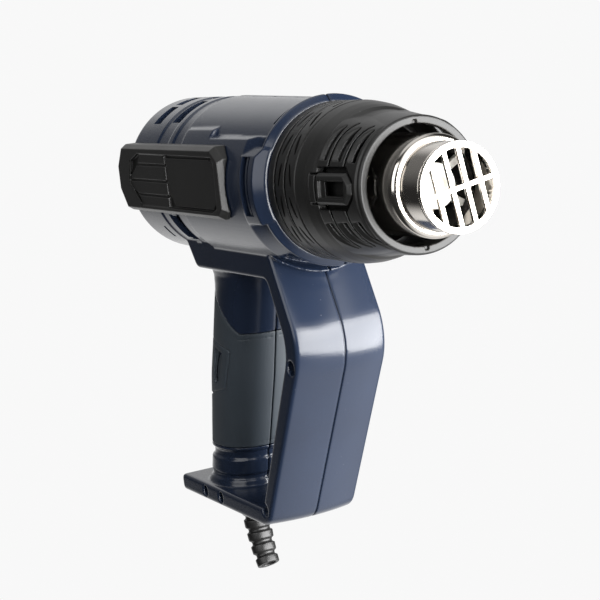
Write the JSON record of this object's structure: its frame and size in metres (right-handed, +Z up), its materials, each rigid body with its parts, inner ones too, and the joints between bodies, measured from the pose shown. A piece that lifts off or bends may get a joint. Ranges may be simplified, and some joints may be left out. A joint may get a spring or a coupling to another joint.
{
  "type": "hot air tool",
  "caption": "Hand-held hot air tool: ribbed barrel with a slotted nose guard and stepped steel nozzle over a closed D-shaped handle with a rubber grip.",
  "frame": {"origin": "centre of the flat rear face, on the barrel's axis", "axes": "+X along the barrel towards the nozzle, +Y to the tool's left, +Z up, away from the handle"},
  "size_m": [0.255, 0.0824, 0.2347],
  "materials": {
    "navy_plastic": "satin moulded, dark navy",
    "black_plastic": "fine textured, charcoal black",
    "grip_rubber": "matt, slate grey-blue",
    "black_rubber": "satin black",
    "nozzle_steel": "polished stainless steel",
    "plain_steel": "zinc plated",
    "heater_wire": "bare resistance wire",
    "ceramic": "fired ceramic, off-white",
    "mica": "layered mica, amber",
    "circuit_board": "green solder mask"
  },
  "bodies": {
    "housing": {"right_housing": "navy_plastic", "left_housing": "navy_plastic", "rear_cap": "navy_plastic", "right_grip_cover": "grip_rubber", "left_grip_cover": "grip_rubber", "right_side_pad": "black_plastic", "left_side_pad": "black_plastic", "front_collar": "black_plastic", "nozzle_tube": "nozzle_steel", "nozzle_grille": "nozzle_steel", "heater_core": "ceramic", "heater_coil": "heater_wire", "mica_sleeve": "mica", "motor": "plain_steel", "motor_mount": "black_plastic", "air_duct": "black_plastic", "switch_body": "black_plastic", "control_board": "circuit_board", "strain_relief": "black_rubber", "cord_clamp": "black_plastic", "guard_screw": "plain_steel", "corner_screw": "plain_steel", "base_front_screw": "plain_steel", "base_rear_screw": "plain_steel"},
    "blower": {"fan": "black_plastic", "motor_shaft": "plain_steel"},
    "rocker": {"switch_rocker": "black_plastic"},
    "nose": {"nose_guard": "black_plastic"},
    "clip": {"release_clip": "black_plastic"}
  },
  "joints": [
    {"name": "fan_spin", "type": "hinge", "parent": "housing", "child": "blower", "pos_m": [0.0735, 0, 0], "axis": [1, 0, 0], "continuous": true},
    {"name": "switch_rock", "type": "hinge", "parent": "housing", "child": "rocker", "pos_m": [0.02552, 0, -0.0924], "axis": [0, 1, 0], "range_deg": [-10, 10]},
    {"name": "guard_slide", "type": "slide", "parent": "housing", "child": "nose", "axis": [1, 0, 0], "range_m": [0, 0.07]},
    {"name": "clip_press", "type": "slide", "parent": "nose", "child": "clip", "axis": [0, 1, 0], "range_m": [0, 0.0016], "stiffness_N_per_m": 800, "springref_m": -0.002}
  ]
}
